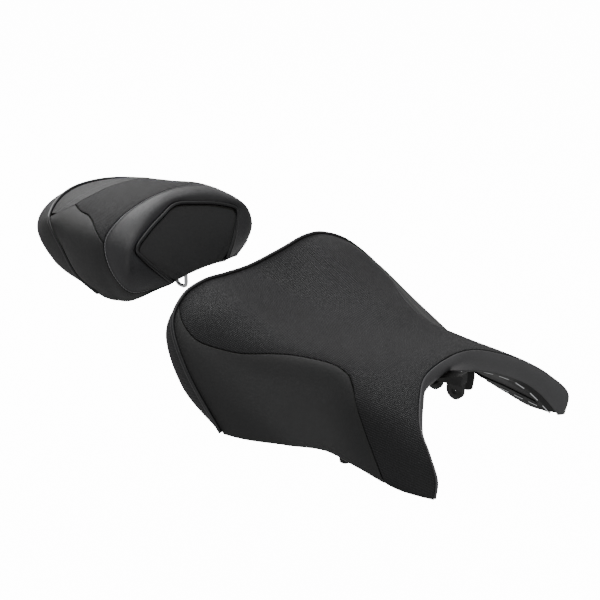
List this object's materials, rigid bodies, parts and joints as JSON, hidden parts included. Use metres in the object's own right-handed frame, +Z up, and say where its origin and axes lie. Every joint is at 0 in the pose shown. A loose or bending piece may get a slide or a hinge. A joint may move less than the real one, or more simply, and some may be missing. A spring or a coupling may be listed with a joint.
{
  "type": "motorcycle seat set",
  "caption": "Sport motorcycle seat set: waisted rider seat with tank arc and rear tongue, and a small tail seat that hinges on rear hooks, with a latch striker.",
  "frame": {"origin": "on the centre line at the underside of the rider seat's rear steel tongue", "axes": "+X to the front of the motorcycle, +Y to the rider's left, +Z up"},
  "size_m": [0.7606, 0.3634, 0.1714],
  "materials": {
    "grip_vinyl": "matte",
    "smooth_vinyl": "matte",
    "band_vinyl": "satin",
    "piping": "gloss",
    "foam": "matte",
    "pan_plastic": "matte",
    "rubber": "matte",
    "steel": "satin"
  },
  "bodies": {
    "rider_seat": {"rider_top_cover": "grip_vinyl", "rider_rear_gusset": "grip_vinyl", "rider_side_cover_left": "smooth_vinyl", "rider_side_cover_right": "smooth_vinyl", "rider_front_band": "band_vinyl", "rider_piping": "piping", "rider_foam": "foam", "rider_pan": "pan_plastic", "rider_bumper_front_left": "rubber", "rider_bumper_front_right": "rubber", "rider_bumper_middle_left": "rubber", "rider_bumper_middle_right": "rubber", "rider_bumper_rear_left": "rubber", "rider_bumper_rear_right": "rubber", "rider_rear_tongue": "steel", "rider_tongue_screw_left": "steel", "rider_tongue_screw_right": "steel"},
    "pillion_seat": {"pillion_grip_panel": "grip_vinyl", "pillion_side_cover_left": "smooth_vinyl", "pillion_side_cover_right": "smooth_vinyl", "pillion_front_panel": "smooth_vinyl", "pillion_rear_strip": "smooth_vinyl", "pillion_rear_gusset": "smooth_vinyl", "pillion_front_band": "band_vinyl", "pillion_rear_piping": "piping", "pillion_front_piping": "piping", "pillion_foam": "foam", "pillion_pan": "pan_plastic", "pillion_bumper_front_left": "rubber", "pillion_bumper_front_right": "rubber", "pillion_bumper_rear_left": "rubber", "pillion_bumper_rear_right": "rubber", "pillion_striker": "steel", "pillion_striker_plate": "steel", "pillion_striker_screw_left": "steel", "pillion_striker_screw_right": "steel"}
  },
  "joints": [
    {"name": "pillion_tip", "type": "hinge", "parent": "rider_seat", "child": "pillion_seat", "pos_m": [-0.33, 0, -0.002], "axis": [0, -1, 0], "range_deg": [0, 25]}
  ]
}
